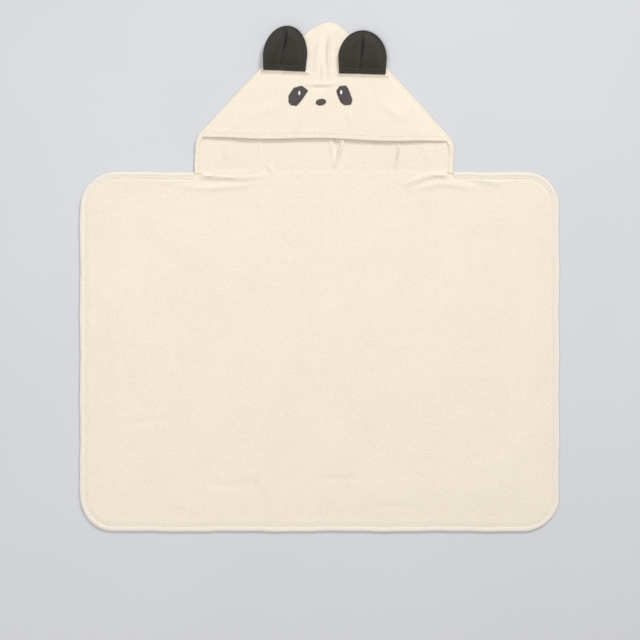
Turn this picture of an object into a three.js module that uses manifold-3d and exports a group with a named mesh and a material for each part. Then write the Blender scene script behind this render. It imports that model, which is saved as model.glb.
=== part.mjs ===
// A hooded baby towel, lying flat with its hood spread out above the top edge.
//
// Millimetres. The origin is the centre of the footprint on the surface the towel lies on:
// +X runs across the width, +Y towards the hood's peak and +Z up, away from that surface.
//
// Four bodies: the towel, the hood that folds over at the neck seam, and the two ears, which
// fold over at the seams that hold them to the hood.

import * as THREE from 'three';
import { mergeVertices } from 'three/addons/utils/BufferGeometryUtils.js';
import Module from 'manifold-3d';

const wasm = await Module();
wasm.setup();

// ---- Driving dimensions ----------------------------------------------------------------

const GAP = 0.3; // clearance between pieces that touch

const towel = { width: 1000, height: 750, cornerRadius: 74 };
const terry = 4; // thickness of one layer of looped terry
const binding = { width: 12.5, tape: 0.8, height: 4.2 };

// Places and heights on the hood, its ears and its face are counted from the neck line.
const hood = {
  centre: 9, // the hood lies a little to the right of the towel's middle
  halfSpan: 270,
  kneeHeight: 68, // straight sides, from the neck up to where the slopes start
  kneeRadius: 15,
  apexHeight: 363, // where the two slopes would meet, above the neck
  peakRadius: 100,
  seamWidth: 9,
  seamHeight: 7.6,
  hemWidth: 9,
  hemThickness: 4.8,
  crown: 8, // how far the front panel stands off the back one
  crownRun: 85, // over what distance from the side seams it rises
};

const earLayer = 2.5;
const ears = [
  { name: 'left_ear', x: -72, base: 211, width: 91, height: 94, shoulder: 32 },
  { name: 'right_ear', x: 89, base: 207, width: 100, height: 91, shoulder: 33 },
];

const patch = 1.5; // thickness of the embroidered eyes and nose
const highlight = 0.6;
const eyes = [
  {
    name: 'left',
    outline: [[-66, 160], [-61, 143], [-46, 139], [-33, 153], [-23, 169], [-37, 181], [-52, 176]],
    highlight: { x: -42, y: 165 },
  },
  {
    name: 'right',
    outline: [[37, 181], [35, 166], [44, 144], [61, 144], [68, 151], [65, 168], [55, 183]],
    highlight: { x: 45, y: 168 },
  },
];
const eyeHighlightSize = { width: 4.4, height: 8.4 };
const nose = { x: 3, y: 147, width: 20.4, height: 13.4, tilt: THREE.MathUtils.degToRad(10) };

// Places that follow from them.
const hoodHeight = hood.apexHeight - peakCut(hood);
const neckY = (towel.height - hoodHeight) / 2;
const neckEnds = [hood.centre - hood.halfSpan, hood.centre + hood.halfSpan];
const kneeY = neckY + hood.kneeHeight;
const hemTopY = kneeY + hood.hemWidth;
const footTopY = neckY + hood.seamWidth + 2 * GAP; // top of the hood back's full-width foot

// ---- Materials -------------------------------------------------------------------------

const fabric = (color, roughness) => new THREE.MeshStandardMaterial({ color, roughness, metalness: 0 });
const creamTerry = fabric(0xf3e8d4, 0.95);
const creamTape = fabric(0xf7f0e4, 0.85);
const charcoalTerry = fabric(0x44423c, 0.95);
const darkThread = fabric(0x5b5253, 0.6);
const noseThread = fabric(0x695e5c, 0.6);
const whiteThread = fabric(0xfbfbf8, 0.6);

// ---- Solids from three.js geometry, joined and cut by manifold-3d -----------------------

function solidFrom(geometry) {
  geometry.deleteAttribute('normal');
  geometry.deleteAttribute('uv');
  const merged = mergeVertices(geometry, 1e-4);
  const vertProperties = new Float32Array(merged.attributes.position.array);
  const triVerts = new Uint32Array(merged.index.array);
  return new wasm.Manifold(new wasm.Mesh({ numProp: 3, vertProperties, triVerts }));
}

function meshFrom(name, solid, material) {
  const { vertProperties, triVerts } = solid.getMesh();
  const geometry = new THREE.BufferGeometry();
  geometry.setAttribute('position', new THREE.BufferAttribute(vertProperties, 3));
  geometry.setIndex(new THREE.BufferAttribute(triVerts, 1));
  geometry.computeVertexNormals();
  const mesh = new THREE.Mesh(geometry, material);
  mesh.name = name;
  return mesh;
}

// A flat piece with this outline, from one height to another.
function slab(outline, bottom, top) {
  const geometry = new THREE.ExtrudeGeometry(outline, {
    depth: top - bottom,
    bevelEnabled: false,
    curveSegments: 10,
  });
  return solidFrom(geometry.translate(0, 0, bottom));
}

function block([x0, x1], [y0, y1], [z0, z1]) {
  const geometry = new THREE.BoxGeometry(x1 - x0, y1 - y0, z1 - z0);
  return solidFrom(geometry.translate((x0 + x1) / 2, (y0 + y1) / 2, (z0 + z1) / 2));
}

// A layer of cloth with this outline, lying over the height that under(x, y) gives.
function layer(outline, under, thickness, pitch) {
  const points = new THREE.Box2().setFromPoints(outline.getPoints());
  const size = points.getSize(new THREE.Vector2()).addScalar(2 * pitch);
  const middle = points.getCenter(new THREE.Vector2());
  const columns = Math.ceil(size.x / pitch);
  const rows = Math.ceil(size.y / pitch);
  const grid = new THREE.BoxGeometry(size.x, size.y, 1, columns, rows, 1);
  grid.translate(middle.x, middle.y, 0);
  const at = grid.attributes.position;
  for (let i = 0; i < at.count; i += 1) {
    const rise = at.getZ(i) > 0 ? thickness : 0;
    at.setZ(i, under(at.getX(i), at.getY(i)) + rise);
  }
  const reach = 100;
  return solidFrom(grid).intersect(slab(outline, -reach, reach));
}

// ---- Outlines --------------------------------------------------------------------------

// How far a round peak lies below the point where the slopes would meet.
function peakCut({ halfSpan, kneeHeight, apexHeight, peakRadius }) {
  const slope = Math.hypot(halfSpan, apexHeight - kneeHeight);
  return peakRadius * (slope / halfSpan - 1);
}

// A polygon with rounded corners, [x, y, radius] anticlockwise, moved inwards by inset.
function roundedPolygon(corners, inset = 0) {
  const shape = new THREE.Shape();
  corners.forEach(([x, y, radius], i) => {
    const corner = new THREE.Vector2(x, y);
    const before = new THREE.Vector2(...corners.at(i - 1));
    const after = new THREE.Vector2(...corners[(i + 1) % corners.length]);
    const edgeIn = corner.clone().sub(before).normalize();
    const edgeOut = after.sub(corner).normalize();
    const normalIn = new THREE.Vector2(-edgeIn.y, edgeIn.x);
    const normalOut = new THREE.Vector2(-edgeOut.y, edgeOut.x);
    const mitre = normalIn.clone().add(normalOut).divideScalar(1 + normalIn.dot(normalOut));
    corner.addScaledVector(mitre, inset);
    const round = Math.max(radius - inset, 0.5);
    const turn = Math.acos(THREE.MathUtils.clamp(edgeIn.dot(edgeOut), -1, 1));
    const start = corner.clone().addScaledVector(edgeIn, -round * Math.tan(turn / 2));
    const centre = start.clone().addScaledVector(normalIn, round);
    const from = Math.atan2(-normalIn.y, -normalIn.x);
    shape.absarc(centre.x, centre.y, round, from, from + turn, false);
  });
  shape.closePath();
  return shape;
}

function towelOutline(inset) {
  const half = towel.width / 2;
  const low = neckY - towel.height;
  const r = towel.cornerRadius;
  return roundedPolygon([[-half, low, r], [half, low, r], [half, neckY, r], [-half, neckY, r]], inset);
}

function hoodOutline(inset) {
  const [left, right] = neckEnds;
  return roundedPolygon([
    [left, neckY + GAP, 1],
    [right, neckY + GAP, 1],
    [right, kneeY, hood.kneeRadius],
    [hood.centre, neckY + hood.apexHeight, hood.peakRadius],
    [left, kneeY, hood.kneeRadius],
  ], inset);
}

// An arch: straight up to its shoulders, then half an ellipse.
function earOutline({ x, base, width, height, shoulder }) {
  const shape = new THREE.Shape();
  const half = width / 2;
  const low = neckY + base;
  shape.moveTo(x - half, low);
  shape.lineTo(x + half, low);
  shape.absellipse(x, low + shoulder, half, height - shoulder, 0, Math.PI, false, 0);
  shape.closePath();
  return shape;
}

function ellipse({ x, y, width, height, tilt = 0 }) {
  const shape = new THREE.Shape();
  shape.absellipse(x, neckY + y, width / 2, height / 2, 0, 2 * Math.PI, false, tilt);
  return shape;
}

function smoothOutline(points) {
  const through = points.map(([x, y]) => new THREE.Vector3(x, neckY + y, 0));
  const curve = new THREE.CatmullRomCurve3(through, true);
  const steps = 4 * points.length;
  return new THREE.Shape(curve.getPoints(steps).slice(0, steps).map(({ x, y }) => new THREE.Vector2(x, y)));
}

// ---- The hood's curved front -----------------------------------------------------------

// How far a point lies inside the nearer of the hood's two slopes.
function insideSlope(x, y) {
  const rise = hood.apexHeight - hood.kneeHeight;
  const across = hood.halfSpan - Math.abs(x - hood.centre);
  const up = y - neckY - hood.kneeHeight;
  return (across * rise - up * hood.halfSpan) / Math.hypot(hood.halfSpan, rise);
}

// The front panel's underside: on the back panel at the side seams, arched in the middle.
function frontUnderside(x, y) {
  const part = Math.min((insideSlope(x, y) - hood.seamWidth) / hood.crownRun, 1);
  return terry + GAP + hood.crown * (1 - (1 - part) ** 2);
}

const frontTop = (x, y) => frontUnderside(x, y) + terry;

// What the ears lie on: the front panel and, level with its edge, the seam and beyond, with an
// easy bend where one runs into the other.
function earRest(x, y) {
  const edge = 2 * terry + GAP;
  const ease = 3;
  const over = frontTop(x, y) - edge;
  return edge + (over + Math.hypot(over, ease)) / 2;
}

// ---- Towel -----------------------------------------------------------------------------

const below = -1; // cutters start under the surface and end over the towel
const above = 20;

// The strip along the towel's edge, open between the hood's lower corners.
function edgeStrip(width, bottom, top, trim) {
  const strip = slab(towelOutline(0), bottom, top).subtract(slab(towelOutline(width), below, above));
  const [left, right] = neckEnds;
  return strip.subtract(block([left + trim, right - trim], [neckY - 2 * width, neckY + 1], [below, above]));
}

// A folded tape, open towards the middle of the towel, that holds the thinned rim of the terry.
function makeBinding() {
  const { width, tape, height } = binding;
  const channel = slab(towelOutline(tape), tape, height - tape);
  return edgeStrip(width, 0, height, 0).subtract(channel);
}

// The tape's continuation across the neck, flat under the seam that joins hood and towel.
function neckTape(clearance) {
  const { width, tape } = binding;
  const [left, right] = neckEnds;
  return block(
    [left + GAP - clearance, right - GAP + clearance],
    [neckY - width - clearance, neckY + width + clearance],
    [clearance > 0 ? below : 0, tape + clearance],
  );
}

function makeTowelPanel() {
  const { width, tape, height } = binding;
  return slab(towelOutline(0), 0, terry)
    .subtract(edgeStrip(tape + GAP, below, above, GAP))
    .subtract(edgeStrip(width + GAP, below, tape + GAP, GAP))
    .subtract(edgeStrip(width + GAP, height - tape - GAP, above, GAP))
    .subtract(neckTape(GAP));
}

// ---- Hood ------------------------------------------------------------------------------

const wide = [-towel.width, towel.width];

function hoodEdge(height) {
  return slab(hoodOutline(0), 0, height).subtract(slab(hoodOutline(hood.seamWidth), below, above));
}

// The turned seam along both slopes and over the peak, which holds front and back together.
function makeHoodSeam() {
  return hoodEdge(hood.seamHeight).intersect(block(wide, [kneeY + GAP, towel.height], [below, above]));
}

// The folded hem of one straight side, below the slopes.
function makeSideHem(side) {
  const x = hood.centre + side * hood.halfSpan;
  const reach = [x - hood.seamWidth - GAP, x + hood.seamWidth + GAP];
  return hoodEdge(hood.hemThickness)
    .intersect(block(reach, [footTopY + GAP, kneeY], [below, above]))
    .subtract(neckTape(GAP));
}

function makeHoodBack() {
  const inner = slab(hoodOutline(hood.seamWidth + GAP), 0, terry);
  const [left, right] = neckEnds;
  const foot = block([left, right], [neckY + GAP, footTopY], [0, terry]);
  return inner.add(foot).subtract(neckTape(GAP));
}

function makeHoodFront() {
  const panel = layer(hoodOutline(hood.seamWidth + GAP), frontUnderside, terry, 22);
  return panel.intersect(block(wide, [hemTopY + GAP, towel.height], [0, 2 * above]));
}

function makeHoodHem() {
  const strip = layer(hoodOutline(hood.seamWidth + GAP), frontUnderside, hood.hemThickness, 22);
  return strip.intersect(block(wide, [kneeY, hemTopY], [0, 2 * above]));
}

function makeEar(ear, count) {
  const under = (x, y) => earRest(x, y) + GAP + count * (earLayer + GAP);
  return layer(earOutline(ear), under, earLayer, 11);
}

function makePatch(outline) {
  return layer(outline, (x, y) => frontTop(x, y) + GAP, patch, 8);
}

function makeHighlight({ x, y }) {
  const under = (px, py) => frontTop(px, py) + patch + 2 * GAP;
  return layer(ellipse({ x, y, ...eyeHighlightSize }), under, highlight, 6);
}

// ---- Assembly --------------------------------------------------------------------------

const towelGroup = new THREE.Group();
towelGroup.add(
  meshFrom('towel_panel', makeTowelPanel(), creamTerry),
  meshFrom('edge_binding', makeBinding(), creamTape),
  meshFrom('neck_seam_tape', neckTape(0), creamTape),
);

const hoodGroup = new THREE.Group();
hoodGroup.add(
  meshFrom('hood_back', makeHoodBack(), creamTerry),
  meshFrom('hood_front', makeHoodFront(), creamTerry),
  meshFrom('hood_front_hem', makeHoodHem(), creamTerry),
  meshFrom('hood_edge_seam', makeHoodSeam(), creamTerry),
  meshFrom('hood_side_hem_left', makeSideHem(-1), creamTerry),
  meshFrom('hood_side_hem_right', makeSideHem(1), creamTerry),
  meshFrom('nose_patch', makePatch(ellipse(nose)), noseThread),
);
for (const eye of eyes) {
  hoodGroup.add(
    meshFrom(`eye_patch_${eye.name}`, makePatch(smoothOutline(eye.outline)), darkThread),
    meshFrom(`eye_highlight_${eye.name}`, makeHighlight(eye.highlight), whiteThread),
  );
}
for (const ear of ears) {
  hoodGroup.add(
    meshFrom(`${ear.name}_back`, makeEar(ear, 0), charcoalTerry),
    meshFrom(`${ear.name}_front`, makeEar(ear, 1), charcoalTerry),
  );
}

const hoodedTowel = new THREE.Group();
hoodedTowel.add(towelGroup, hoodGroup);

export default hoodedTowel;
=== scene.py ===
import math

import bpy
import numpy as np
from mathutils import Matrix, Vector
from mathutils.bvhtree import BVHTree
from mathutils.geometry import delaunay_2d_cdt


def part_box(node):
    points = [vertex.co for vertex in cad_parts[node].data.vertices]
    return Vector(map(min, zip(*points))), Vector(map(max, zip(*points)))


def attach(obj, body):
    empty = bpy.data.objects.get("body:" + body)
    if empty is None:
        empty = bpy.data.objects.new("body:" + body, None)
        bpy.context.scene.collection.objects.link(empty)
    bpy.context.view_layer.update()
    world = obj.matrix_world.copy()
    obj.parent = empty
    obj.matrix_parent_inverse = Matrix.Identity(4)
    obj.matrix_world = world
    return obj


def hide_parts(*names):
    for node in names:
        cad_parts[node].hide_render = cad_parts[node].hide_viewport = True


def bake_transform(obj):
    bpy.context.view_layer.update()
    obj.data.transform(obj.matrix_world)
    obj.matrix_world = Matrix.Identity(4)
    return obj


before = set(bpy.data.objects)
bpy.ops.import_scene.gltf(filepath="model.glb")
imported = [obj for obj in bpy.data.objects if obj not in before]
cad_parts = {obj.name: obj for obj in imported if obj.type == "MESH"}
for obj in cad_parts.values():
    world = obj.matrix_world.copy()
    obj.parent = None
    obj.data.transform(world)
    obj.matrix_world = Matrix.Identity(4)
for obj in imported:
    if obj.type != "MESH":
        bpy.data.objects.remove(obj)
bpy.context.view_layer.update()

# A hooded baby towel laid flat, seen from straight above. Metres, in the CAD model's frame:
# +X across the width, +Y towards the hood's peak, +Z up from the floor.
#
# Each cloth is a closed sheet: a triangulated outline with a top and a bottom surface. Folds,
# seams and wrinkles are shaped into those surfaces, and "lie" moves cloth, tape and thread
# sideways together, so that edges run a little unevenly, as cloth does.

MM = 0.001

# ---- Places, from the frame ----

towel_low, towel_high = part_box("edge_binding")
back_low, back_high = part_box("hood_back")
front_low, front_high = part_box("hood_front")
hem_low, hem_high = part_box("hood_front_hem")
peak_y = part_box("hood_edge_seam")[1].y
neck_y = towel_high.y
knee_y = hem_low.y
hem_top_y = hem_high.y
seam_width = hem_top_y - knee_y
terry = back_high.z - back_low.z
towel_half = (towel_high.x - towel_low.x) / 2
hood_x = (back_low.x + back_high.x) / 2
half_span = (back_high.x - back_low.x) / 2
hood_height = peak_y - neck_y
binding_height = towel_high.z

# ---- Sizes that the frame doesn't hold ----

corner_radius = 74 * MM
knee_radius = 36 * MM
peak_radius = 100 * MM
binding_width = 12.5 * MM
front_inset = 8 * MM  # how far inside the hood's slopes the front panel ends
crown_run = 85 * MM  # how far in from the slopes the front's arch is at its full height
rim_height = 7.2 * MM
side_height = 4.9 * MM
settled = 0.45  # share of the CAD model's arch that the front keeps as it lies
crown = settled * (front_high.z - terry - front_low.z)

# How far each row of topstitching runs in from its edge.
binding_stitch = 10.2 * MM
rim_stitch = 6.5 * MM
side_stitch = 7 * MM
mouth_stitch = 7.6 * MM
ear_base_stitch = 10.5 * MM
ear_arch_stitch = 4.4 * MM

# One stitch.
stitch_length = 2.7 * MM
stitch_gap = 0.7 * MM
thread_radius = 0.28 * MM
fine_radius = 0.24 * MM
mouth_radius = 0.17 * MM
thread_sides = 6

edge_spacing = 0.6  # of points along a cloth's edge, as a share of the spacing inside it


def apex_above_knee():
    """Height of the point where the hood's slopes would meet, from the height of its round peak."""
    rise = hood_height - (knee_y - neck_y)
    for _ in range(20):
        cut = peak_radius * (math.hypot(half_span, rise) / half_span - 1)
        rise = hood_height - (knee_y - neck_y) + cut
    return rise


slope_rise = apex_above_knee()
slope_length = math.hypot(half_span, slope_rise)
apex_y = knee_y + slope_rise


# ---- Outlines ----


def rounded_polygon(corners, inset, step):
    """Points step apart round a polygon of (x, y, radius) corners, anticlockwise, moved in by inset."""
    points = []
    count = len(corners)
    for i, (x, y, radius) in enumerate(corners):
        before = np.array(corners[i - 1][:2])
        after = np.array(corners[(i + 1) % count][:2])
        corner = np.array([x, y])
        edge_in = (corner - before) / np.linalg.norm(corner - before)
        edge_out = (after - corner) / np.linalg.norm(after - corner)
        normal_in = np.array([-edge_in[1], edge_in[0]])
        normal_out = np.array([-edge_out[1], edge_out[0]])
        corner = corner + inset * (normal_in + normal_out) / (1 + normal_in @ normal_out)
        radius = max(radius - inset, 0.5 * MM)
        turn = math.acos(max(-1.0, min(1.0, edge_in @ edge_out)))
        centre = corner - edge_in * radius * math.tan(turn / 2) + normal_in * radius
        start = math.atan2(-normal_in[1], -normal_in[0])
        arcs = max(2, round(radius * turn / step))
        for k in range(arcs + 1):
            angle = start + turn * k / arcs
            points.append(centre + radius * np.array([math.cos(angle), math.sin(angle)]))
    return resample(np.array(points), step, closed=True)


def lengths_along(points):
    """How far along a line each of its points is."""
    return np.concatenate([[0], np.cumsum(np.linalg.norm(np.diff(points, axis=0), axis=1))])


def resample(points, step, closed=False):
    """The same line with its points about step apart."""
    points = np.asarray(points, float)
    if closed:
        points = np.vstack([points, points[:1]])
    along = lengths_along(points)
    count = max(4, round(along[-1] / step))
    at = np.linspace(0, along[-1], count + 1)
    line = np.stack([np.interp(at, along, points[:, k]) for k in range(points.shape[1])], axis=1)
    return line[:-1] if closed else line


def smooth_line(points, step):
    """A Catmull-Rom curve through the points, about step apart."""
    points = np.asarray(points, float)
    padded = np.vstack([2 * points[0] - points[1], points, 2 * points[-1] - points[-2]])
    t = np.linspace(0, 1, 17)[:-1, None]
    pieces = []
    for a, b, c, d in zip(padded, padded[1:], padded[2:], padded[3:]):
        square = 2 * a - 5 * b + 4 * c - d
        cube = 3 * b - a - 3 * c + d
        pieces.append(0.5 * (2 * b + (c - a) * t + square * t**2 + cube * t**3))
    return resample(np.vstack(pieces + [points[-1:]]), step)


def towel_outline(inset, step):
    low, high, radius = towel_low.y, neck_y, corner_radius
    corners = [(-towel_half, low, radius), (towel_half, low, radius)]
    corners += [(towel_half, high, radius), (-towel_half, high, radius)]
    return rounded_polygon(corners, inset, step)


def house_outline(half, foot, apex, inset, step):
    """The hood's outline, from its half width, the height of its foot and that of its sharp peak."""
    left, right = hood_x - half, hood_x + half
    corners = [(left, foot, 0), (right, foot, 0), (right, knee_y, knee_radius)]
    corners += [(hood_x, apex, peak_radius), (left, knee_y, knee_radius)]
    return rounded_polygon(corners, inset, step)


def inside_slope(xy):
    """How far points lie inside the nearer of the hood's two slopes."""
    across = half_span - np.abs(xy[:, 0] - hood_x)
    return (across * slope_rise - (xy[:, 1] - knee_y) * half_span) / slope_length


def slope_half(y, inset):
    """Half the hood's width at height y, inset from its slopes."""
    return half_span - (inset * slope_length + (y - knee_y) * half_span) / slope_rise


def front_underside(xy):
    """Height of the hood front's arch over its pocket."""
    part = np.minimum((inside_slope(xy) - seam_width) / crown_run, 1)
    return front_low.z + crown * (1 - (1 - part) ** 2)


# ---- How the cloth lies ----


def ease(value, start, end):
    """0 before start, 1 after end, smooth between."""
    t = np.clip((value - start) / (end - start), 0, 1)
    return t * t * (3 - 2 * t)


def lie(xy):
    """Moves points sideways by how the towel lies: gently wavy edges and the hood a little askew."""
    x, y = xy[:, 0], xy[:, 1]
    turn = 2 * math.pi
    wave_x = 0.7 * MM * np.sin(turn * y / 0.171 + 1.1) + 0.35 * MM * np.sin(turn * y / 0.061)
    wave_y = 0.7 * MM * np.sin(turn * x / 0.213 + 0.4) + 0.4 * MM * np.sin(turn * x / 0.074)
    near_knee = 1 - ease(np.abs(y - knee_y), 15 * MM, 90 * MM)
    skew = -math.tan(math.radians(1.0)) * (x - hood_x)
    hem_wave = 2.0 * MM * np.cos(turn * (x - hood_x) / 0.262) * near_knee
    slack = -2.4 * MM * (1 + near_knee)
    hood_part = ease(y, neck_y + 5 * MM, knee_y)
    moved_x = wave_x * (1 - hood_part)
    moved_y = wave_y * (1 - hood_part) + (skew + hem_wave + slack) * hood_part
    return np.stack([x + moved_x, y + moved_y], axis=1)


def lie_hood(xy):
    """As lie, with the hood gathered in between its ears and its peak drawn to one side."""
    x, y = xy[:, 0], xy[:, 1]
    middle = hood_x + 7 * MM * ease(y, peak_y - 62 * MM, peak_y)
    drift = 2 * MM * ease(y, neck_y, knee_y)
    drawn_in = 1 - 0.27 * ease(y, peak_y - 105 * MM, peak_y - 27 * MM)
    near_peak = ease(y, peak_y - 70 * MM, peak_y - 12 * MM)
    shoulders = 4 * MM * ease(np.abs(x - middle), 6 * MM, 44 * MM) * near_peak
    up_slope = np.clip((y - knee_y) / (peak_y - knee_y), 0, 1)
    bow = 1.5 * MM * np.sin(2 * math.pi * up_slope) * (x - hood_x) / half_span
    moved_x = middle + (x - hood_x) * drawn_in + bow + drift
    return lie(np.stack([moved_x, y - shoulders], axis=1))


def lie_front(xy):
    """As lie_hood, with the hood's mouth drawn up a little, most of all between its ends."""
    near_mouth = 1 - ease(xy[:, 1], knee_y + 10 * MM, knee_y + 90 * MM)
    between_ends = 0.55 + 0.45 * ease(inside_slope(xy), 8 * MM, 60 * MM)
    placed = lie_hood(xy)
    placed[:, 1] += 4.2 * MM * near_mouth * between_ends
    return placed


def nearest_on(xy, line):
    """Distance to a line, which side of it (positive on its left), and how far along, from 0 to 1."""
    start, end = line[:-1], line[1:]
    span = end - start
    length = np.linalg.norm(span, axis=1)
    best = np.full(len(xy), 1e9)
    side = np.ones(len(xy))
    along = np.zeros(len(xy))
    done = lengths_along(line)
    for i in range(len(span)):
        rel = xy - start[i]
        t = np.clip(rel @ span[i] / length[i] ** 2, 0, 1)
        off = rel - t[:, None] * span[i]
        distance = np.hypot(off[:, 0], off[:, 1])
        closer = distance < best
        best[closer] = distance[closer]
        cross = span[i][0] * rel[:, 1] - span[i][1] * rel[:, 0]
        side[closer] = np.sign(cross[closer])
        along[closer] = (done[i] + t[closer] * length[i]) / done[-1]
    return best, side, along


def fold(xy, path, height, width, steep):
    """Height that one soft fold adds."""
    height, width = height * MM, width * MM
    line = smooth_line(np.array(path) * MM, 6 * MM)
    reach = 4 * width
    low, high = line.min(axis=0) - reach, line.max(axis=0) + reach
    near = np.all((xy > low) & (xy < high), axis=1)
    added = np.zeros(len(xy))
    if near.any():
        distance, side, along = nearest_on(xy[near], line)
        s = side * distance / width
        ends = np.sin(math.pi * np.clip(along, 0, 1)) ** 0.7
        added[near] = height * ends * np.exp(-(s**2)) * (1 + steep * s)
    return added


# Each fold is a path in mm, a height in mm (less than 0 for a hollow), a width in mm, and how much
# steeper its left side is.
NECK_FOLDS = [
    ([(-336, 192), (-262, 208), (-180, 202), (-106, 207)], 3.8, 5.6, 1.25),
    ([(-300, 186), (-240, 183), (-180, 185), (-118, 193)], 2.3, 5.6, 0.6),
    ([(-226, 217), (-180, 214), (-122, 219)], 1.6, 4, 0.8),
    ([(168, 186), (212, 202), (247, 208), (310, 204), (384, 191)], 3.6, 5.6, 1.25),
    ([(180, 175), (225, 186), (262, 190), (335, 183)], 1.9, 5.8, 0.6),
]
TOWEL_FOLDS = [
    ([(-252, -431), (-190, -438), (-135, -435), (-108, -498)], -0.8, 6, 0.4),
    ([(-318, -134), (-300, -170), (-279, -222)], -0.8, 7, 0.4),
    ([(99, -486), (150, -480), (220, -486)], -0.7, 6, 0.4),
    ([(-20, -420), (40, -426), (96, -418)], -0.6, 6, 0.4),
    ([(-400, -300), (-350, -306), (-310, -300)], -0.6, 6, 0.4),
    ([(-470, -10), (-440, -60), (-446, -130)], 0.8, 12, 0.5),
    ([(380, -60), (300, -140), (250, -260)], 0.8, 26, 0.4),
    ([(-420, 150), (-340, 90), (-250, 60)], 0.7, 24, 0.4),
    ([(330, -420), (400, -380), (452, -300)], 0.8, 20, 0.5),
]


def cloth_swell(xy):
    """Long shallow undulations of cloth that has been smoothed out by hand."""
    x, y = xy[:, 0], xy[:, 1]
    swell = np.sin(9.1 * x + 3.7 * y + 0.6) + np.sin(5.3 * x - 8.9 * y + 2.1)
    swell += 0.6 * np.sin(17.0 * x - 6.0 * y) + 0.5 * np.sin(4.0 * x + 21.0 * y + 1.0)
    return 0.45 * MM * (swell + 3.1)


def folds_on(xy, folds):
    """Height that a list of folds adds."""
    return sum(fold(xy, *each) for each in folds)


# ---- Meshes ----


def placed_object(name, data, place=(0, 0, 0)):
    """An object in the scene that holds a mesh, a light or a camera."""
    thing = bpy.data.objects.new(name, data)
    thing.location = place
    bpy.context.collection.objects.link(thing)
    return thing


def new_object(name, vertices, faces, material):
    """A smooth-shaded object whose sharper edges stay crisp."""
    mesh = bpy.data.meshes.new(name)
    mesh.from_pydata([tuple(v) for v in vertices], [], [tuple(int(i) for i in f) for f in faces])
    mesh.validate()
    mesh.shade_smooth()
    mesh.set_sharp_from_angle(angle=math.radians(55))
    mesh.materials.append(material)
    return placed_object(name, mesh)


def inside_polygon(xy, polygon):
    """Which points lie inside a closed polygon."""
    inside = np.zeros(len(xy), bool)
    x, y = xy[:, 0], xy[:, 1]
    for (x0, y0), (x1, y1) in zip(polygon, np.roll(polygon, -1, axis=0)):
        crosses = (y0 > y) != (y1 > y)
        at = (x1 - x0) * (y - y0) / (y1 - y0 + 1e-18) + x0
        inside ^= crosses & (x < at)
    return inside


def edge_distance(xy, outline):
    """Distance from each point to a closed outline."""
    return nearest_on(xy, np.vstack([outline, outline[:1]]))[0]


def triangulate(outline_at, pitch, rings):
    """Points, triangles and edge of a filled outline, with rings of points just inside its edge."""
    loops = [outline_at(inset, pitch * edge_spacing) for inset in (0, *rings)]
    edge = loops[0]
    low, high = edge.min(axis=0), edge.max(axis=0)
    row = pitch * math.sqrt(3) / 2
    rows = int((high[1] - low[1]) / row) + 2
    columns = int((high[0] - low[0]) / pitch) + 2
    j, i = np.mgrid[0:rows, 0:columns]
    grid = np.stack([low[0] + (i + 0.5 * (j % 2)) * pitch, low[1] + j * row], axis=-1).reshape(-1, 2)
    grid = grid[inside_polygon(grid, loops[-1])]
    grid = grid[edge_distance(grid, loops[-1]) > 0.55 * pitch]
    points = np.vstack(loops + [grid])
    border = [(k, (k + 1) % len(edge)) for k in range(len(edge))]
    found = delaunay_2d_cdt([Vector(p) for p in points], border, [], 1, 1e-7)
    return np.array([tuple(v) for v in found[0]]), np.array([tuple(f) for f in found[2]]), edge


def cloth(
    name, outline_at, pitch, material, surface, thickness,
    rings=(0.3 * MM, 1.0 * MM, 2.0 * MM), place=lie):
    """A closed sheet with its middle at surface(xy), thickness(xy, inward) thick inward of its edge."""
    xy, triangles, edge = triangulate(outline_at, pitch, rings)
    thick = thickness(xy, edge_distance(xy, edge))
    middle = surface(xy)
    placed = place(xy)
    under = np.maximum(middle - thick / 2, 0.1 * MM)
    over = np.maximum(middle + thick / 2, under + 0.3 * thick)
    top = np.column_stack([placed, over])
    bottom = np.column_stack([placed, under])
    count = len(xy)
    sides = np.concatenate([triangles[:, [0, 1]], triangles[:, [1, 2]], triangles[:, [2, 0]]])
    seen = {(u, v) for u, v in sides}
    rim = [(v, u, u + count, v + count) for u, v in sides if (v, u) not in seen]
    faces = [*triangles, *(triangles[:, ::-1] + count), *rim]
    return new_object(name, np.vstack([top, bottom]), faces, material)


def rounded_edge(d, thick, radius):
    """Thickness that rounds off within radius of the edge, and never quite closes."""
    t = np.clip(d / radius, 0, 1)
    return thick * np.maximum(np.sqrt(1 - (1 - t) ** 2), 0.2)


def path_normals(path):
    """Unit normals on the left of an open path, level with the floor."""
    ahead = np.gradient(path, axis=0)
    ahead /= np.linalg.norm(ahead, axis=1, keepdims=True)
    return np.column_stack([-ahead[:, 1], ahead[:, 0]])


def tube_faces(first, rings, sides):
    """Faces of a tube with capped ends, from rings of points whose first is numbered first."""
    faces = []
    last = first + (rings - 1) * sides
    for ring in range(first, last, sides):
        for k in range(sides):
            a, b = ring + k, ring + (k + 1) % sides
            faces.append((a, b, b + sides, a + sides))
    faces.append(tuple(range(first, first + sides))[::-1])
    faces.append(tuple(range(last, last + sides)))
    return faces


def sweep(name, path, section_at, material, place=lie):
    """Sweeps a closed section of (in, up) points along a path, with "in" on its left."""
    rings = []
    for point, normal, s in zip(path, path_normals(path), lengths_along(path)):
        section = section_at(point, s)
        flat = point + section[:, :1] * normal
        rings.append(np.column_stack([place(flat), section[:, 1]]))
    faces = tube_faces(0, len(rings), len(rings[0]))
    return new_object(name, np.vstack(rings), faces, material)


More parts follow.
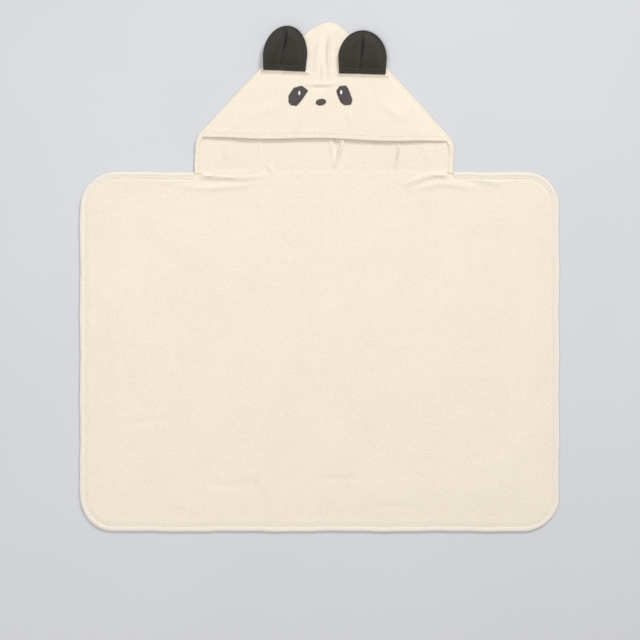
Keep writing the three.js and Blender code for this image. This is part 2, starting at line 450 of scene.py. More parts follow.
def tube_rings(line, radii):
    """Rings of points round a 3-D line, for threads."""
    ahead = np.gradient(line, axis=0)
    ahead /= np.linalg.norm(ahead, axis=1, keepdims=True) + 1e-12
    across = np.cross(ahead, np.array([0.0, 0.0, 1.0]))
    across /= np.linalg.norm(across, axis=1, keepdims=True) + 1e-12
    over = np.cross(across, ahead)
    turn = np.linspace(0, 2 * math.pi, thread_sides, endpoint=False)[None, :, None]
    spread = across[:, None] * np.cos(turn) + over[:, None] * np.sin(turn)
    return line[:, None] + spread * radii[:, None, None]


def threads(name, lines, radius, material):
    """Many short threads as one piece: each line is a 3-D polyline, thinner at its ends."""
    vertices, faces = [], []
    for line in lines:
        t = np.linspace(-1, 1, len(line))
        rings = tube_rings(line, radius * np.sqrt(np.clip(1.02 - t**4, 0.05, 1)))
        faces += tube_faces(len(vertices), len(line), thread_sides)
        vertices.extend(rings.reshape(-1, 3))
    return new_object(name, vertices, faces, material)


class Ground:
    """The top or bottom surface of a piece, for what is sewn on it."""

    def __init__(self, piece, from_above=True):
        corners = [v.co.copy() for v in piece.data.vertices]
        faces = [list(p.vertices) for p in piece.data.polygons]
        self.tree = BVHTree.FromPolygons(corners, faces)
        self.way = -1 if from_above else 1

    def height(self, x, y):
        """The surface's height at a point, or None beside the piece."""
        afar = 200 * MM
        start = Vector((x, y, -self.way * afar))
        hit = self.tree.ray_cast(start, Vector((0, 0, self.way)))
        return hit[0].z if hit[0] is not None else None


def stitch_lines(path, ground, place=lie):
    """A row of stitches along a flat path, each a short arc that dips into the cloth at its ends."""
    row = resample(path, 0.45 * MM)
    along = lengths_along(row)
    placed = place(row)
    arc = np.sin(np.linspace(0, math.pi, 6))
    rise = (1.5 * arc - 0.9) * thread_radius * -ground.way
    lines = []
    start = stitch_gap
    while start + stitch_length < along[-1]:
        at = np.linspace(start, start + stitch_length, len(arc))
        x = np.interp(at, along, placed[:, 0])
        y = np.interp(at, along, placed[:, 1])
        heights = [ground.height(px, py) for px, py in zip(x, y)]
        if None not in heights:
            lines.append(np.column_stack([x, y, np.array(heights) + rise]))
        start += stitch_length + stitch_gap
    return lines


# ---- Materials ----


class Nodes:
    """A material's node tree, with short calls to add and link nodes."""

    def __init__(self, name):
        self.material = bpy.data.materials.new(name)
        self.material.use_nodes = True
        self.tree = self.material.node_tree
        self.shader = self.tree.nodes["Principled BSDF"]
        self.place = self.add("ShaderNodeTexCoord").outputs["Object"]

    def add(self, kind, **settings):
        node = self.tree.nodes.new(kind)
        for key, value in settings.items():
            if key in node.inputs:
                node.inputs[key].default_value = value
            else:
                setattr(node, key, value)
        return node

    def link(self, source, target):
        self.tree.links.new(source, target)

    def noise(self, scale, detail, rough, place=None):
        node = self.add("ShaderNodeTexNoise", Scale=scale, Detail=detail, Roughness=rough)
        self.link(place or self.place, node.inputs["Vector"])
        return node.outputs["Fac"]

    def ramp(self, value, low, high, start=0.0, end=1.0):
        """Maps value from low..high to start..end."""
        ends = {"From Min": low, "From Max": high, "To Min": start, "To Max": end}
        node = self.add("ShaderNodeMapRange", **ends)
        self.link(value, node.inputs["Value"])
        return node.outputs["Result"]

    def put(self, value, socket):
        """Links a socket, or sets the number or colour that it holds."""
        if isinstance(value, (int, float)):
            socket.default_value = value
        elif isinstance(value, tuple):
            socket.default_value = (*value, 1)
        else:
            self.link(value, socket)

    def math(self, operation, a, b):
        node = self.add("ShaderNodeMath", operation=operation)
        self.put(a, node.inputs[0])
        self.put(b, node.inputs[1])
        return node.outputs["Value"]

    def mix(self, share, low, high, blend="MIX"):
        """A colour between two, by share."""
        node = self.add("ShaderNodeMix", data_type="RGBA", blend_type=blend)
        self.put(share, node.inputs[0])
        self.put(low, node.inputs[6])
        self.put(high, node.inputs[7])
        return node.outputs[2]

    def shade(self, socket, value):
        """Links or sets one of the shader's sockets."""
        self.put(value, self.shader.inputs[socket])

    def bump(self, height, distance):
        node = self.add("ShaderNodeBump", Strength=1.0, Distance=distance)
        self.link(height, node.inputs["Height"])
        self.shade("Normal", node.outputs["Normal"])


def shades(colour, *factors):
    """Lighter or darker versions of a colour."""
    return [tuple(min(1.0, c * f) for c in colour) for f in factors]


def terry_material(
    name, colour, loop=1.7 * MM, relief=0.55 * MM, contrast=0.12, sheen=0.25, gloss=0.2, fuzz=0.5):
    """Cotton loops in uneven rows, with painted shade between the loops and painted light on their tips,
    and soft darker patches: partly random tone, partly painted shade of fine horizontal wrinkles.
    """
    n = Nodes(name)
    warp = n.add("ShaderNodeTexNoise", Scale=1 / (6 * loop), Detail=2.0)
    n.link(n.place, warp.inputs["Vector"])
    moved = n.add("ShaderNodeVectorMath", operation="MULTIPLY_ADD")
    n.link(warp.outputs["Color"], moved.inputs[0])
    moved.inputs[1].default_value = (loop, loop, loop)
    n.link(n.place, moved.inputs[2])
    loops = n.add("ShaderNodeTexVoronoi", Scale=1 / loop, Randomness=0.75)
    n.link(moved.outputs["Vector"], loops.inputs["Vector"])
    curl = n.noise((1.4 + 1.6 * fuzz) / loop, 3.0, 0.65)
    pile = n.math("SUBTRACT", 1.0, loops.outputs["Distance"])
    round_loops = n.math("MULTIPLY", pile, 1.2 - 0.4 * fuzz)
    height = n.math("ADD", round_loops, n.math("MULTIPLY", curl, fuzz))
    # The loops' colour is painted shade and light: darker down between the loops, where shade falls, and
    # lighter on their tips. Contrast sets how much.
    between, tip = shades(colour, 1 - contrast, 1 + contrast * 0.35)
    fine = n.mix(n.ramp(height, 0.55, 1.25), between, tip)
    # The soft patches are partly random tone, from broad, and partly painted shade of fine horizontal
    # wrinkles, from the streaks of leaning, stretched across the width.
    stretched = n.add("ShaderNodeVectorMath", operation="MULTIPLY")
    stretched.inputs[1].default_value = (0.35, 1.0, 1.0)
    n.link(n.place, stretched.inputs[0])
    leaning = n.noise(1 / (16 * MM), 4.0, 0.65, stretched.outputs["Vector"])
    broad = n.noise(1 / (160 * MM), 3.0, 0.5)
    patch = n.math("MULTIPLY", n.math("ADD", leaning, broad), 0.5)
    shade = n.mix(n.ramp(patch, 0.35, 0.65), (0.965, 0.962, 0.956), (1.0, 1.0, 1.0))
    n.shade("Base Color", n.mix(1.0, fine, shade, "MULTIPLY"))
    n.shade("Roughness", n.ramp(curl, 0.3, 0.7, 0.86, 1.0))
    n.shade("Sheen Weight", sheen)
    n.shade("Sheen Roughness", 0.6)
    n.shade("Sheen Tint", (1, 1, 1))
    n.shade("Specular IOR Level", gloss)
    n.bump(height, relief)
    return n.material


def tape_material(name, colour):
    """Fine plain-woven cotton tape: two crossing sets of yarns about 0.5 mm apart, a little uneven."""
    n = Nodes(name)
    yarn = 0.55 * MM
    split = n.add("ShaderNodeSeparateXYZ")
    n.link(n.place, split.inputs["Vector"])
    waves = []
    for axis in ("X", "Y"):
        phase = n.math("MULTIPLY", split.outputs[axis], 2 * math.pi / yarn)
        waves.append(n.math("SINE", phase, 0.0))
    weave = n.math("MULTIPLY", *waves)
    slub = n.noise(1 / (1.6 * MM), 3.0, 0.6)
    # The tape's colour is partly painted shade and light, darker in the weave's dips and lighter on its
    # crowns, and partly random slub tone.
    height = n.math("ADD", n.math("MULTIPLY", weave, 0.35), slub)
    dark, light = shades(colour, 0.93, 1.02)
    n.shade("Base Color", n.mix(n.ramp(height, 0.2, 0.9), dark, light))
    n.shade("Roughness", n.ramp(slub, 0.3, 0.7, 0.72, 0.9))
    n.shade("Sheen Weight", 0.12)
    n.shade("Specular IOR Level", 0.25)
    n.bump(height, 0.12 * MM)
    return n.material


def thread_material(name, colour, rough=0.45):
    """Twisted embroidery yarn with a slight gloss."""
    n = Nodes(name)
    fibre = n.noise(1 / (0.35 * MM), 4.0, 0.7)
    broad = n.noise(1 / (6 * MM), 2.0, 0.5)
    dark, light = shades(colour, 0.8, 1.15)
    tone = n.ramp(n.math("ADD", fibre, broad), 0.7, 1.3)
    n.shade("Base Color", n.mix(tone, dark, light))
    n.shade("Roughness", n.ramp(fibre, 0.3, 0.7, rough, rough + 0.25))
    n.shade("Sheen Weight", 0.2)
    n.bump(fibre, 0.08 * MM)
    return n.material


def floor_material():
    """A matt pale grey, barely uneven."""
    n = Nodes("pale_floor")
    tone = n.ramp(n.noise(1 / 0.5, 2.0, 0.5), 0.3, 0.7)
    n.shade("Base Color", n.mix(tone, (0.56, 0.57, 0.59), (0.58, 0.59, 0.61)))
    n.shade("Roughness", 0.9)
    return n.material


cream_terry = terry_material("cream_terry", (0.860, 0.775, 0.640))
cream_tape = tape_material("cream_tape", (0.778, 0.716, 0.624))
# The cream thread is a little lighter than the terry: painted light that offsets the shadows along the
# rows of stitches.
cream_thread = thread_material("cream_thread", (0.900, 0.820, 0.690), 0.6)
charcoal_terry = terry_material(
    "charcoal_terry", (0.044, 0.039, 0.031), loop=1.5 * MM, relief=0.7 * MM,
    contrast=0.45, sheen=0.15, gloss=0.02, fuzz=0.95)
charcoal_thread = thread_material("charcoal_thread", (0.084, 0.078, 0.068), 0.55)
dark_thread = thread_material("dark_thread", (0.066, 0.051, 0.051))
nose_thread = thread_material("nose_thread", (0.082, 0.060, 0.055))
white_thread = thread_material("white_thread", (0.90, 0.90, 0.88))


# ---- Floor, light and camera ----


def make_camera():
    """Straight above the towel."""
    data = bpy.data.cameras.new("camera")
    data.lens = 90
    data.sensor_width = 36
    seen_width = 1.336
    height = seen_width * data.lens / data.sensor_width
    bpy.context.scene.camera = placed_object("camera", data, (1 * MM, -91 * MM, height))


def area_light(name, place, size, power):
    """A round light that faces the middle of the towel."""
    data = bpy.data.lights.new(name, "AREA")
    data.shape = "DISK"
    data.size = size
    data.energy = power
    light = placed_object(name, data, place)
    light.rotation_mode = "QUATERNION"
    light.rotation_quaternion = (-Vector(place)).to_track_quat("-Z", "Y")


def make_stage():
    """The floor, the lights and the even light of a white room."""
    size = 6.0
    corners = [(-size, -size, 0), (size, -size, 0), (size, size, 0), (-size, size, 0)]
    floor = new_object("floor", corners, [(0, 1, 2, 3)], floor_material())
    floor.location.z = -0.5 * MM
    area_light("key", (2.2, 4.05, 3.4), 1.9, 203)
    area_light("top", (-0.6, 0.0, 2.8), 2.2, 39)
    area_light("fill", (-1.2, -2.4, 1.8), 1.8, 3)
    world = bpy.data.worlds.new("studio")
    bpy.context.scene.world = world
    world.use_nodes = True
    background = world.node_tree.nodes["Background"]
    background.inputs["Color"].default_value = (1, 1, 1, 1)
    background.inputs["Strength"].default_value = 0.42
    bpy.context.scene.view_settings.view_transform = "Standard"


make_camera()
make_stage()

# ---- Towel ----


def binding_path():
    """The towel's edge from the hood's left corner round to its right one, inside on the left."""
    whole = towel_outline(0, 4 * MM)
    in_neck = (whole[:, 1] > neck_y - 1 * MM) & (np.abs(whole[:, 0] - hood_x) < half_span)
    last_in_neck = np.flatnonzero(in_neck & ~np.roll(in_neck, -1))[0]
    ring = np.roll(whole, -(last_in_neck + 1), axis=0)
    kept = ring[: int((~in_neck).sum())]
    left, right = (hood_x - half_span, neck_y), (hood_x + half_span, neck_y)
    return np.vstack([left, kept, right])


BINDING_PATH = binding_path()


def binding_gap(xy):
    """Distance from the bound edge."""
    return nearest_on(xy, BINDING_PATH)[0]


def towel_surface(xy):
    """The panel's middle, held flat where the binding grips it."""
    gap = binding_gap(xy)
    folds = folds_on(xy, NECK_FOLDS + TOWEL_FOLDS) * ease(gap, 12 * MM, 20 * MM)
    return terry / 2 + cloth_swell(xy) * ease(gap, 14 * MM, 90 * MM) + folds


def towel_thickness(xy, inward):
    """Thin in the binding, fullest just beside it, square at the neck where the hood carries on."""
    gap = binding_gap(xy)
    held = 2.0 * MM
    full = terry + 0.7 * MM * np.exp(-(((gap - 20 * MM) / (8 * MM)) ** 2))
    return held + (full - held) * ease(gap, binding_width - 0.6 * MM, binding_width + 3.5 * MM)


def uneven(s, run, drift):
    """A wave from -1 to 1 whose length wanders, for cloth that stitches draw up."""
    return np.sin(s / run + 2 * np.sin(s / drift))


def tape_section(point, s):
    """A folded tape's section: (in, up) points over the top, round the outside and back inside."""
    tape = 0.8 * MM
    radius = binding_height / 2
    pucker = 0.14 * MM * math.sin(s / (1.55 * MM)) + 0.18 * MM * uneven(s, 5.3 * MM, 0.09)

    def leg(depth):
        """Height of the upper leg's outer face, in from the edge."""
        off_stitch = depth - binding_stitch
        dip = 0.75 * MM * math.exp(-((off_stitch / (1.3 * MM)) ** 2))
        puff = 0.5 * MM * math.sin(math.pi * min(depth / binding_stitch, 1))
        return binding_height + puff - dip + pucker * math.exp(-((off_stitch / (4 * MM)) ** 2))

    depths = [binding_width, 11.4 * MM, binding_stitch, 9.0 * MM, 7.0 * MM, 5.0 * MM, 3.2 * MM]
    over = [(d, leg(d)) for d in depths]
    turn = np.linspace(math.pi / 2, -math.pi / 2, 9)
    outside = [(radius - radius * math.cos(a), radius + radius * math.sin(a)) for a in turn]
    under = [(4 * MM, 0), (binding_width, 0), (binding_width, tape)]
    inner = radius - tape
    inside = [(radius - inner * math.cos(a), radius + inner * math.sin(a)) for a in turn[::-1]]
    back = [(binding_width, binding_height - tape - 0.1 * MM)]
    return np.array(over + outside + under + inside + back)


def make_towel():
    """The panel, its binding and the binding's stitches."""

    def outline_at(inset, step):
        return towel_outline(1.2 * MM + inset, step)

    sheet = cloth("towel_terry", outline_at, 5 * MM, cream_terry, towel_surface, towel_thickness)
    binding = sweep("towel_binding", resample(BINDING_PATH, 1.5 * MM), tape_section, cream_tape)
    path = resample(BINDING_PATH, 1 * MM)
    lines = stitch_lines(path + path_normals(path) * binding_stitch, Ground(binding))
    return sheet, binding, threads("binding_stitches", lines, thread_radius, cream_thread)


def make_neck_tape():
    """The flat tape under the neck seam."""
    low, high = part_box("neck_seam_tape")
    corners = [(low.x, low.y, 0), (high.x, low.y, 0), (high.x, high.y, 0), (low.x, high.y, 0)]

    def outline_at(inset, step):
        return rounded_polygon(corners, inset, step)

    def thickness(xy, inward):
        return np.full(len(xy), high.z - low.z)

    def surface(xy):
        return np.full(len(xy), (high.z + low.z) / 2)

    return cloth("neck_tape", outline_at, 4 * MM, cream_tape, surface, thickness, rings=(0.5 * MM,))


# ---- Hood ----

BACK_FOLDS = [
    # The first three are the hollow pleat where the back is nipped in, between two ridges.
    ([(54, 312), (47, 281), (40, 252), (34, 220)], 4.6, 5.0, -1.2),
    ([(16, 308), (21, 281), (26, 252), (29, 226)], 2.4, 5.0, 0.9),
    ([(34, 306), (34, 281), (32, 252), (31, 222)], -3.0, 5.5, 0.0),
    ([(166, 300), (164, 281), (163, 255), (160, 222)], 3.6, 2.8, -1.2),
    ([(-124, 292), (-126, 275), (-127, 250)], 1.6, 3.0, -0.8),
    ([(-108, 238), (-98, 222), (-90, 208)], 1.8, 5.0, -0.6),
    ([(-190, 290), (-196, 270), (-192, 240)], 1.2, 8.0, 0.4),
    ([(228, 288), (224, 264), (230, 236)], 1.2, 7.0, -0.6),
    ([(90, 285), (94, 262), (90, 238)], 0.9, 8.0, 0.4),
]
FRONT_FOLDS = [
    # The tuck between the ears' seams, the creases above it and slack beside and below the eyes.
    ([(-32, 404), (-20, 403), (5, 403), (22, 404), (40, 412)], 2.1, 5.0, -0.9),
    ([(-24, 395), (0, 395), (26, 396)], -1.6, 4.0, 0.0),
    ([(20, 520), (20, 490), (19, 460), (18, 420)], 3.8, 4.4, -1.4),
    ([(7, 452), (6, 430), (5, 406)], 2.6, 3.4, -1.0),
    ([(-6, 512), (-5, 470), (-8, 425)], 2.0, 7.0, -1.0),
    ([(36, 512), (33, 470), (34, 425)], -2.4, 6.0, 0.0),
    ([(57, 352), (62, 325), (68, 298)], 0.8, 6.0, -0.8),
    ([(-150, 330), (-110, 345), (-80, 350)], 1.0, 10.0, 0.5),
    ([(120, 370), (150, 345), (185, 325)], 1.1, 9.0, 0.5),
    ([(-60, 300), (-40, 312), (-20, 335)], 0.8, 10.0, 0.4),
]


def back_surface(xy):
    """The back panel's middle, pressed in a little along the neck seam."""
    seam = 0.5 * MM * np.exp(-(((xy[:, 1] - neck_y) / (2.2 * MM)) ** 2))
    swell = 0.5 * cloth_swell(xy) * ease(xy[:, 1], neck_y, knee_y)
    return terry / 2 + swell + folds_on(xy, NECK_FOLDS + BACK_FOLDS) - seam


def make_hood_back():
    """The back panel, from the towel's edge up to the peak; its rim is inside the turned edges."""
    rim = 1.6 * MM

    def outline_at(inset, step):
        return house_outline(half_span - 2 * MM, neck_y - 1.1 * MM, apex_y - 3 * MM, inset, step)

    def thickness(xy, inward):
        in_edge = ease(inward, 4 * MM, 12 * MM)
        near_neck = 1 - ease(xy[:, 1], neck_y, neck_y + 20 * MM)
        beside = ease(half_span - np.abs(xy[:, 0] - hood_x), 6 * MM, 14 * MM)
        return rim + (terry - rim) * np.maximum(in_edge, near_neck * beside)

    return cloth(
        "hood_back_terry", outline_at, 3.4 * MM, cream_terry, back_surface, thickness, place=lie_hood)


def front_lift(xy):
    """The front panel's folds, and the fine puckers that its hem's stitches draw up."""
    pucker = 0.08 * MM * uneven(xy[:, 0], 2.1 * MM, 0.05)
    near_hem = np.exp(-(((xy[:, 1] - hem_top_y) / (6 * MM)) ** 2))
    return folds_on(xy, FRONT_FOLDS) + pucker * near_hem + ear_tucks(xy)


def front_surface(xy):
    """The front panel's middle."""
    return front_underside(xy) + terry / 2 + front_lift(xy)


def make_hood_front():
    """The front panel, inside its rim and above the mouth's hem."""
    low = hem_top_y + 0.2 * MM
    half = slope_half(low, front_inset)
    apex = apex_y - front_inset * slope_length / half_span
    corners = [(hood_x - half, low, 1 * MM), (hood_x + half, low, 1 * MM)]
    corners.append((hood_x, apex, peak_radius - front_inset))

    def outline_at(inset, step):
        return rounded_polygon(corners, inset, step)

    def thickness(xy, inward):
        """Full close to the mouth hem, which covers the edge there, and rounded under the rim."""
        off_hem = ease(xy[:, 1] - hem_top_y, 2 * MM, 6 * MM)
        return rounded_edge(inward, terry, (1.0 + 2.0 * off_hem) * MM)

    return cloth(
        "hood_front_terry", outline_at, 2.8 * MM, cream_terry, front_surface, thickness,
        rings=(0.4 * MM, 1.2 * MM, 2.2 * MM, 3.4 * MM), place=lie_front)


def rolled_section(width, low, high, stitch, dip, lift=lambda depth: 0.0):
    """A turned, flattened edge: (in, up) points over its top, round its outside and back underneath."""
    radius = (high - low) / 2
    middle = (high + low) / 2
    turn = np.linspace(math.pi / 2, -math.pi / 2, 9)

    def face(depth, way):
        press = dip * math.exp(-(((depth - stitch) / (1.4 * MM)) ** 2))
        return middle + way * (radius - press) + lift(depth)

    depths = np.array([1.0, 0.92, 0.84, 0.76, 0.66, 0.55]) * width
    over = [(d, face(d, 1)) for d in depths]
    outside = [(radius * 0.8 * (1 - math.cos(a)), middle + radius * math.sin(a) + lift(0)) for a in turn]
    under = [(d, face(d, -1)) for d in depths[::-1]]
    return np.array(over + outside + under)


def hood_edges():
    """The hood's outline cut into its right side, its slopes with the peak, and its left side."""
    whole = house_outline(half_span, neck_y, apex_y, 0, 1.5 * MM)
    beside = np.abs(whole[:, 1] - neck_y) > 1 * MM
    first = np.flatnonzero(beside & ~np.roll(beside, 1))[0]
    ring = np.roll(whole, -first, axis=0)[: int(beside.sum())]
    upper = np.flatnonzero(ring[:, 1] > knee_y - 4 * MM)
    right, slopes, left = ring[: upper[0] + 1], ring[upper[0] : upper[-1] + 1], ring[upper[-1] :]
    foot = neck_y - 2.5 * MM
    return np.vstack([(right[0, 0], foot), right]), slopes, np.vstack([left, (left[-1, 0], foot)])


RIGHT_EDGE, SLOPES, LEFT_EDGE = hood_edges()


def edge_with_stitches(name, path, height_at, inset, dip):
    """A turned edge along part of the hood's outline, topstitched through to both faces."""

    def section_at(point, s):
        return rolled_section(10 * MM, 0.3 * MM, height_at(s), inset, dip)

    edge = sweep(name, path, section_at, cream_terry, lie_hood)
    row = path + path_normals(path) * inset
    lines = stitch_lines(row, Ground(edge), place=lie_hood)
    lines += stitch_lines(row, Ground(edge, from_above=False), place=lie_hood)
    return edge, threads(f"{name}_stitches", lines, fine_radius, cream_thread)


def make_hood_rim():
    """The turned, topstitched seam along both slopes and over the peak."""

    def height_at(s):
        return rim_height + 0.15 * MM * uneven(s, 2.3 * MM, 0.07)

    return edge_with_stitches("hood_rim", SLOPES, height_at, rim_stitch, 0.55 * MM)


def make_side_hem(side):
    """The folded hem of one straight side of the hood back, which thickens into the slope's seam."""
    path = {"left": LEFT_EDGE, "right": RIGHT_EDGE}[side]
    total = lengths_along(path)[-1]

    def height_at(s):
        up = s if side == "right" else total - s
        ripple = 0.12 * MM * math.sin(up / (2.2 * MM))
        return side_height + (rim_height - side_height) * ease(up, 0.55 * total, total) + ripple

    return edge_with_stitches(f"hood_side_{side}", path, height_at, side_stitch, 0.5 * MM)


def make_hood_hem():
    """The folded hem of the hood's mouth, which follows the front's arch and thins at its ends."""
    full, thin = 4.5 * MM, 2.3 * MM
    half = slope_half(knee_y, 6 * MM)
    path = resample([(hood_x - half, knee_y), (hood_x + half, knee_y)], 1.5 * MM)

    def section_at(point, s):
        def lift(depth):
            here = np.array([[point[0], knee_y + depth]])
            return float((front_underside(here) + front_lift(here))[0])

        from_end = half - abs(point[0] - hood_x)
        pucker = 0.08 * MM * uneven(s, 2.1 * MM, 0.05)
        high = thin + (full - thin) * ease(from_end, 0, 16 * MM) + pucker
        return rolled_section(9.8 * MM, 0.1 * MM, high, mouth_stitch, 0.15 * MM, lift)

    hem = sweep("hood_mouth_hem", path, section_at, cream_terry, lie_front)
    row = path + path_normals(path) * mouth_stitch
    lines = stitch_lines(row, Ground(hem), place=lie_front)
    return hem, threads("hood_mouth_stitches", lines, mouth_radius, cream_thread)


# ---- Ears ----


class Ear:
    """One ear's place and shape. Its right half overlaps its left half along a pleat, given in mm."""

    def __init__(self, name, tilt, lean, pleat, depth, shift=0.0):
        self.name = name
        low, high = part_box(f"{name}_front")
        self.x = (low.x + high.x) / 2 - shift
        self.base = low.y
        self.half = (high.x - low.x) / 2 + 0.6 * MM
        self.height = high.y - low.y
        self.shoulder = 32 * MM
        self.tilt = math.radians(tilt)
        self.lean = lean
        self.depth = depth
        self.pleat_line = smooth_line(np.array(pleat) * MM, 2 * MM)

    def turned(self, along, up):
        """Points given along and up from the middle of the ear's base, turned with the ear."""
        c, s = math.cos(self.tilt), math.sin(self.tilt)
        return np.column_stack([self.x + c * along - s * up, self.base + s * along + c * up])

    def outline(self, inset, step):
        """An arch: straight to its shoulders, then half an ellipse, turned and leaning a little."""
        half = self.half - inset
        foot = 0.955 * half
        turn = np.linspace(0, math.pi, 60)
        rise = self.height - inset - self.shoulder
        arch = np.column_stack([half * np.cos(turn), self.shoulder + rise * np.sin(turn)])
        along, up = np.vstack([arch, [(-foot, inset), (foot, inset)]]).T
        leaning = along + self.lean * (up / self.height) ** 2
        return resample(self.turned(leaning, up), step, closed=True)

    def up(self, xy):
        """How far points are above the ear's base, along the ear."""
        c, s = math.cos(self.tilt), math.sin(self.tilt)
        return -s * (xy[:, 0] - self.x) + c * (xy[:, 1] - self.base)

    def rest(self, xy):
        """What the ear lies on, with the part past the hood's slope drooping a little."""
        edge = 2 * terry + 0.3 * MM
        over = front_underside(xy) + terry - edge
        droop = 0.06 * np.maximum(0, -inside_slope(xy))
        return edge + (over + np.hypot(over, 3 * MM)) / 2 - droop

    def pleat(self, xy):
        """The pleat's height, a slow fall on its left and a steep rise on its right, and its lap."""
        distance, side, along = nearest_on(xy, self.pleat_line)
        strength = ease(along, 0.02, 0.3) * (1 - 0.8 * ease(along, 0.45, 0.95))
        fall = -0.8 * self.depth * np.exp(-((np.maximum(distance - 5 * MM, 0) / (3.6 * MM)) ** 1.6))
        fall -= 0.2 * self.depth * np.exp(-((distance / (14 * MM)) ** 2))
        rise = 2.2 * MM * np.exp(-(((distance - 3 * MM) / (9 * MM)) ** 2)) * ease(distance, 0, 2.6 * MM)
        wall = -self.depth * (1 - ease(distance, 0, 2.4 * MM))
        lap = 1.2 * MM * ease(distance, 0.6 * MM, 2.4 * MM) * (1 - ease(distance, 3 * MM, 14 * MM))
        return strength * np.where(side < 0, fall, rise + wall), strength * np.where(side < 0, 0, lap)

    def base_row(self):
        """A line across the ear, where it is topstitched."""
        end = self.half - 3 * MM
        return resample(self.turned(np.array([-end, end]), ear_base_stitch), 1 * MM)


LEFT_PLEAT = [(-66, 520), (-66.5, 506), (-68.5, 486), (-74, 466), (-78, 440)]
RIGHT_PLEAT = [(93, 510), (93, 492), (90.5, 470), (87, 448), (86, 424)]
EARS = [
    Ear("left_ear", -1.8, 4 * MM, LEFT_PLEAT, 11 * MM, 1.2 * MM),
    Ear("right_ear", -0.3, 2 * MM, RIGHT_PLEAT, 10 * MM),
]


def ear_tucks(xy):
    """The ridge of cream terry where each ear's base is caught in the hood's seam."""
    added = np.zeros(len(xy))
    for ear in EARS:
        across = np.abs(xy[:, 0] - ear.x)
        up = ear.up(xy)
        ridge = np.exp(-(((up + 2.0 * MM) / (2.6 * MM)) ** 2))
        added += 4.2 * MM * ridge * (1 - ease(across, ear.half - 2 * MM, ear.half + 8 * MM))
    return added


def make_ear(ear):
    """An ear's two layers, sewn together round its arch and across its base."""
    layer = 2.5 * MM
    gap = 0.4 * MM

    def turned_in(inward):
        """Both layers close towards the seam at the ear's edge."""
        return 0.8 * MM * (1 - ease(inward, 0, 5 * MM))

    def front_mid(xy):
        inward = edge_distance(xy, ear.outline(0, 2 * MM))
        up = ear.up(xy)
        puff = 8.4 * MM * ease(inward, 1 * MM, 24 * MM) * (0.3 + 0.7 * ease(up, 4 * MM, 34 * MM))
        roll = 1.3 * MM * np.sin(math.pi * np.clip(inward / ear_arch_stitch, 0, 1))
        groove = 0.9 * MM * np.exp(-(((inward - ear_arch_stitch) / (1.1 * MM)) ** 2))
        groove += 0.8 * MM * np.exp(-(((up - ear_base_stitch) / (1.8 * MM)) ** 2))
        height = gap + 1.6 * layer + puff + roll - groove + ear.pleat(xy)[0] - turned_in(inward)
        return ear.rest(xy) + np.maximum(height, 1.2 * layer)

    def back_mid(xy):
        inward = edge_distance(xy, ear.outline(0, 2 * MM))
        return ear.rest(xy) + gap + 0.5 * layer + turned_in(inward)

    def lapped(xy):
        """As lie, with the cloth beside the pleat drawn over it."""
        return lie(xy) - np.column_stack([ear.pleat(xy)[1], np.zeros(len(xy))])

    def thickness(xy, inward):
        return rounded_edge(inward, layer, 1.8 * MM)

    def make_layer(face, pitch, surface, place):
        name = f"{ear.name}_{face}_terry"
        rings = (0.3 * MM, 0.9 * MM, 1.8 * MM, 3.2 * MM, 4.6 * MM)
        return cloth(name, ear.outline, pitch, charcoal_terry, surface, thickness, rings, place)

    back = make_layer("back", 2.4 * MM, back_mid, lie)
    front = make_layer("front", 1.2 * MM, front_mid, lapped)
    ground = Ground(front)
    arch = ear.outline(ear_arch_stitch, 1 * MM)
    arch = arch[ear.up(arch) > 12 * MM]
    start = np.argmax(np.linalg.norm(arch - np.roll(arch, 1, axis=0), axis=1))
    lines = stitch_lines(ear.base_row(), ground) + stitch_lines(np.roll(arch, -start, axis=0), ground)
    return back, front, threads(f"{ear.name}_stitches", lines, fine_radius, charcoal_thread)


# ---- Face ----

# Each eye patch's corners in mm, anticlockwise, and which way its stitches run, in degrees.
LEFT_EYE = [
    (-65, 377), (-64.5, 363), (-59, 357), (-47, 355.5),
    (-36, 368), (-23, 388), (-37, 398.5), (-54, 394)]
RIGHT_EYE = [
    (36, 381), (43, 365), (51, 358.5), (66, 360.5), (69, 371),
    (60.5, 394), (55.5, 400.5), (41.5, 398.5), (34.5, 389)]
EYES = {"left": (LEFT_EYE, 128), "right": (RIGHT_EYE, 20)}


def ellipse_outline(centre, width, height, tilt):
    """Points round an ellipse, anticlockwise."""
    turn = np.linspace(0, 2 * math.pi, 49)[:-1]
    x, y = width / 2 * np.cos(turn), height / 2 * np.sin(turn)
    c, s = math.cos(tilt), math.sin(tilt)
    return np.column_stack([centre[0] + c * x - s * y, centre[1] + s * x + c * y])


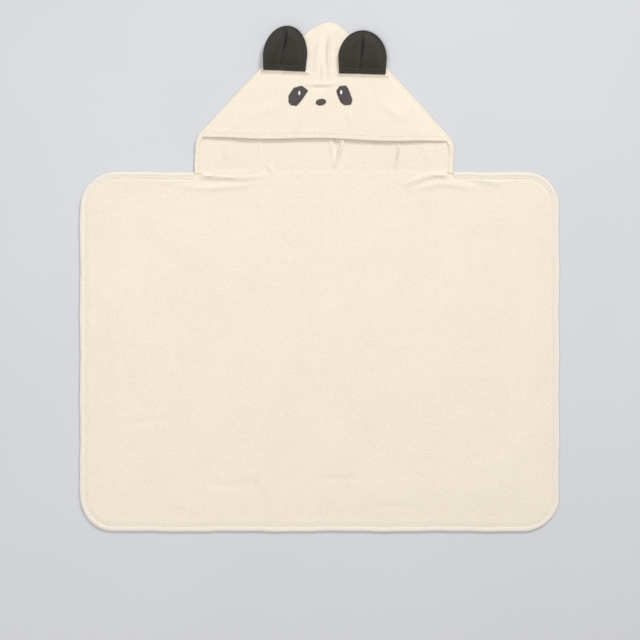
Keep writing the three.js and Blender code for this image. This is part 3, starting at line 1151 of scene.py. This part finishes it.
def satin(name, outline, degrees, ground, material, base=0.2 * MM, puff=1.1 * MM):
    """Satin stitch: parallel threads from edge to edge of an outline, arched over their padding."""
    pitch = 0.42 * MM
    yarn = 0.62 * pitch  # a thread's radius, so that neighbours overlap
    angle = math.radians(degrees)
    along = np.array([math.cos(angle), math.sin(angle)])
    step = np.array([-along[1], along[0]])
    centre = outline.mean(axis=0)
    across = (outline - centre) @ step
    length = (outline - centre) @ along
    corners = list(zip(across, length))
    low, high = across.min(), across.max()
    t = np.linspace(0, 1, 15)
    lines = []
    for k, offset in enumerate(np.arange(low + pitch / 2, high, pitch)):
        ends = []
        for (a0, l0), (a1, l1) in zip(corners, corners[1:] + corners[:1]):
            if (a0 - offset) * (a1 - offset) <= 0 and a0 != a1:
                ends.append(l0 + (l1 - l0) * (offset - a0) / (a1 - a0))
        if len(ends) < 2:
            continue
        ragged = 0.25 * MM * math.sin(k * 2.4)
        first, last = min(ends) - ragged, max(ends) + ragged
        if last - first < 1 * MM:
            continue
        edge_fall = min(1.0, (offset - low) / (2.5 * MM), (high - offset) / (2.5 * MM))
        arch = np.sin(math.pi * t) ** 0.45 * puff * (0.45 + 0.55 * edge_fall)
        placed = lie(centre + np.outer(first + (last - first) * t, along) + offset * step)
        heights = np.array([ground.height(px, py) or 0 for px, py in placed])
        lines.append(np.column_stack([placed, heights + base + arch]))
    return threads(name, lines, yarn, material)


def middle_of(node):
    """The middle of a CAD node's box, seen from above."""
    low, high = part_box(node)
    return (low.x + high.x) / 2, (low.y + high.y) / 2


def make_face(front):
    """The embroidery on the front panel: each piece with its material slot and CAD node."""
    ground = Ground(front)
    pieces = []
    for side, (corners, degrees) in EYES.items():
        patch, highlight = f"eye_patch_{side}", f"eye_highlight_{side}"
        outline = rounded_polygon([(x * MM, y * MM, 3 * MM) for x, y in corners], 0, 0.6 * MM)
        eye = satin(f"{patch}_satin", outline, degrees, ground, dark_thread)
        spot = ellipse_outline(middle_of(highlight), 4.4 * MM, 8.4 * MM, 0)
        shine = satin(f"{highlight}_satin", spot, 0, Ground(eye), white_thread, 0.15 * MM, 0.35 * MM)
        pieces += [(eye, "dark_thread", patch), (shine, "white_thread", highlight)]
    spot = ellipse_outline(middle_of("nose_patch"), 22 * MM, 14.4 * MM, math.radians(10))
    nose = satin("nose_satin", spot, 100, ground, nose_thread)
    return pieces + [(nose, "nose_thread", "nose_patch")]


# ---- Assembly ----


def stand_for(piece, slot, *nodes):
    """Hides the CAD nodes that a piece replaces, if it has any."""
    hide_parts(*nodes)


towel_sheet, towel_binding, binding_stitches = make_towel()
neck_tape = make_neck_tape()
hood_back = make_hood_back()
hood_front = make_hood_front()
hood_rim, rim_stitches = make_hood_rim()
mouth_hem, mouth_stitches = make_hood_hem()
side_hems = {side: make_side_hem(side) for side in ("left", "right")}

# Pieces that ride on one body: each with its slot and the CAD node that it replaces.
TOWEL_PIECES = [
    (towel_sheet, "cream_terry", "towel_panel"),
    (towel_binding, "cream_tape", "edge_binding"),
    (neck_tape, "cream_tape", "neck_seam_tape"),
    (binding_stitches, "cream_tape"),
]
HOOD_PIECES = [
    (hood_front, "cream_terry", "hood_front"),
    (hood_rim, "cream_terry", "hood_edge_seam"),
    (mouth_hem, "cream_terry", "hood_front_hem"),
    (rim_stitches, "cream_terry"),
    (mouth_stitches, "cream_terry"),
    *make_face(hood_front),
]
for body, pieces in (("towel", TOWEL_PIECES), ("hood", HOOD_PIECES)):
    for piece, slot, *nodes in pieces:
        stand_for(piece, slot, *nodes)
        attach(piece, body)

# The back and its side hems run from the towel up into the hood; they ride on neither body, with their
# transforms baked in.
stand_for(hood_back, "cream_terry", "hood_back")
for side, (hem, stitches) in side_hems.items():
    stand_for(hem, "cream_terry", f"hood_side_hem_{side}")
    stand_for(stitches, "cream_terry")
side_pieces = [piece for pair in side_hems.values() for piece in pair]
for piece in [hood_back] + side_pieces:
    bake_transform(piece)

for ear in EARS:
    back, front, stitches = make_ear(ear)
    stand_for(back, "charcoal_terry", f"{ear.name}_back")
    stand_for(front, "charcoal_terry", f"{ear.name}_front")
    stand_for(stitches, "charcoal_terry")
    for piece in (back, front, stitches):
        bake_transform(piece)
